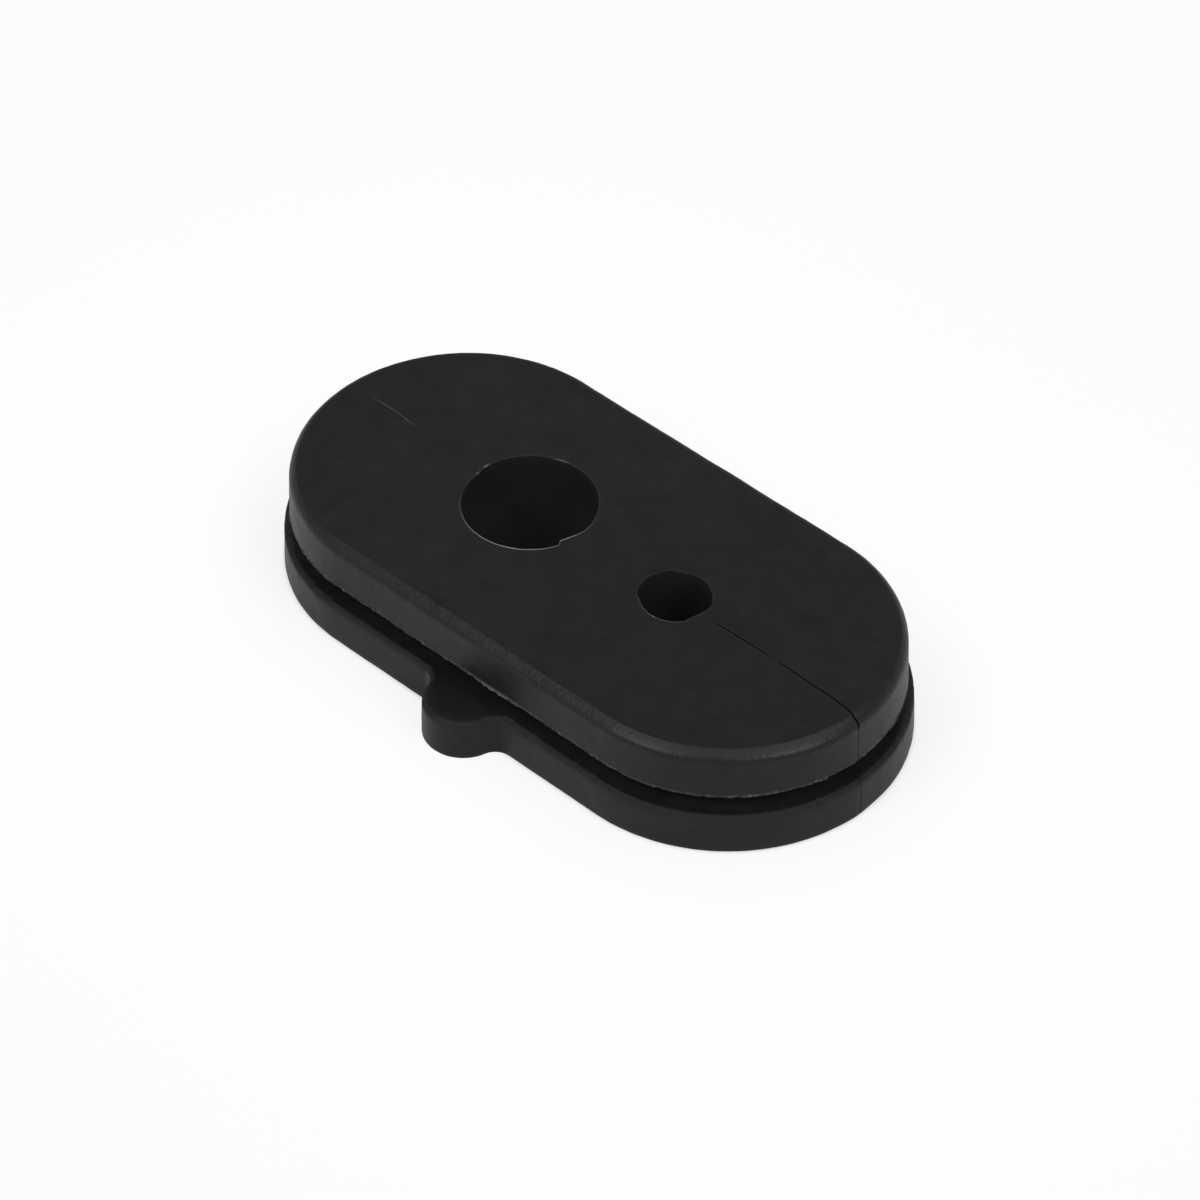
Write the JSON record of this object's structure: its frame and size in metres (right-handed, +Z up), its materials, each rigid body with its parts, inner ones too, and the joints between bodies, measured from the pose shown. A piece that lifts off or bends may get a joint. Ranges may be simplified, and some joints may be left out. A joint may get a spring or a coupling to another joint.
{
  "type": "rubber grommet",
  "caption": "Long-round rubber cable grommet with an edge groove between two flanges, a large and a small cable bore, a slit out to each end and a small locating tab.",
  "frame": {"origin": "centre of the underside, midway between the two round ends", "axes": "+X along the length towards the small bore, +Z up through the bores, and the locating tab points to -Y"},
  "size_m": [0.0264, 0.0149, 0.0044],
  "materials": {
    "rubber": "matt moulded black rubber with a faint sheen"
  },
  "bodies": {
    "root": {"grommet": "rubber"}
  },
  "joints": []
}
